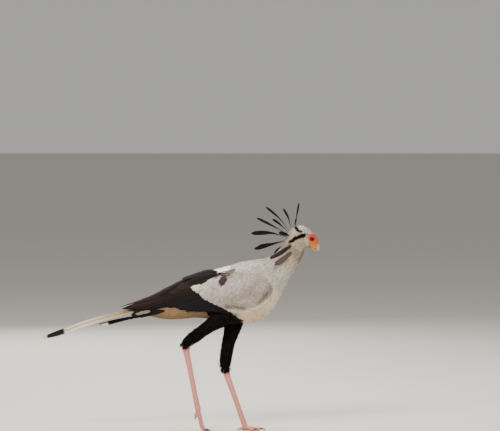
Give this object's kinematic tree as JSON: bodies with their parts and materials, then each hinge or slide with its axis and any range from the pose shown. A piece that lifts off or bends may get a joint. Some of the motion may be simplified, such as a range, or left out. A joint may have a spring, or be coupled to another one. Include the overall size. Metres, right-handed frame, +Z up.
{
  "type": "secretary bird",
  "caption": "Life-size still model of a secretary bird in mid stride, wings folded, crest raised, standing on its own feet.",
  "frame": {"origin": "on the floor, under the middle of the whole bird's box", "axes": "+X the way the bird faces, +Y its left side, +Z up"},
  "size_m": [1.269, 0.1938, 1.0512],
  "materials": {
    "grey_feather": "soft grey contour feathers, matt",
    "white_feather": "creamy white body feathers, matt",
    "black_feather": "brown-black flight and leg feathers, faint gloss",
    "tail_feather": "pale grey tail feathers with a black band and white tips",
    "crest_feather": "black plumes, greyer at the base",
    "bare_face": "bare orange and red skin, finely wrinkled",
    "bill_horn": "smooth blue-grey horn, darker tip",
    "eye": "wet and glossy, dark brown with a black pupil",
    "leg_skin": "scaly pink skin, satin",
    "claw_horn": "dark blunt horn"
  },
  "bodies": {
    "root": {"rump": "white_feather", "trunk": "white_feather", "neck_lower": "grey_feather", "neck_upper": "grey_feather", "head": "bare_face", "eye_left": "eye", "eye_right": "eye", "bill_upper": "bill_horn", "bill_lower": "bill_horn", "crest_plume_01": "crest_feather", "crest_plume_02": "crest_feather", "crest_plume_03": "crest_feather", "crest_plume_04": "crest_feather", "crest_plume_05": "crest_feather", "crest_plume_06": "crest_feather", "crest_plume_07": "crest_feather", "crest_plume_08": "crest_feather", "crest_plume_09": "crest_feather", "crest_plume_10": "crest_feather", "crest_plume_11": "crest_feather", "crest_plume_12": "crest_feather", "crest_plume_13": "crest_feather", "crest_plume_14": "crest_feather", "crest_plume_15": "crest_feather", "crest_plume_16": "crest_feather", "thigh_left": "black_feather", "shank_left": "leg_skin", "foot_left": "leg_skin", "claw_left_inner": "claw_horn", "claw_left_middle": "claw_horn", "claw_left_outer": "claw_horn", "claw_left_hind": "claw_horn", "thigh_right": "black_feather", "shank_right": "leg_skin", "foot_right": "leg_skin", "claw_right_inner": "claw_horn", "claw_right_middle": "claw_horn", "claw_right_outer": "claw_horn", "claw_right_hind": "claw_horn", "tail_fan": "black_feather", "tail_streamer_left": "tail_feather", "tail_streamer_right": "tail_feather", "wing_left_coverts": "grey_feather", "wing_left_flight": "black_feather", "wing_right_coverts": "grey_feather", "wing_right_flight": "black_feather"}
  },
  "joints": []
}
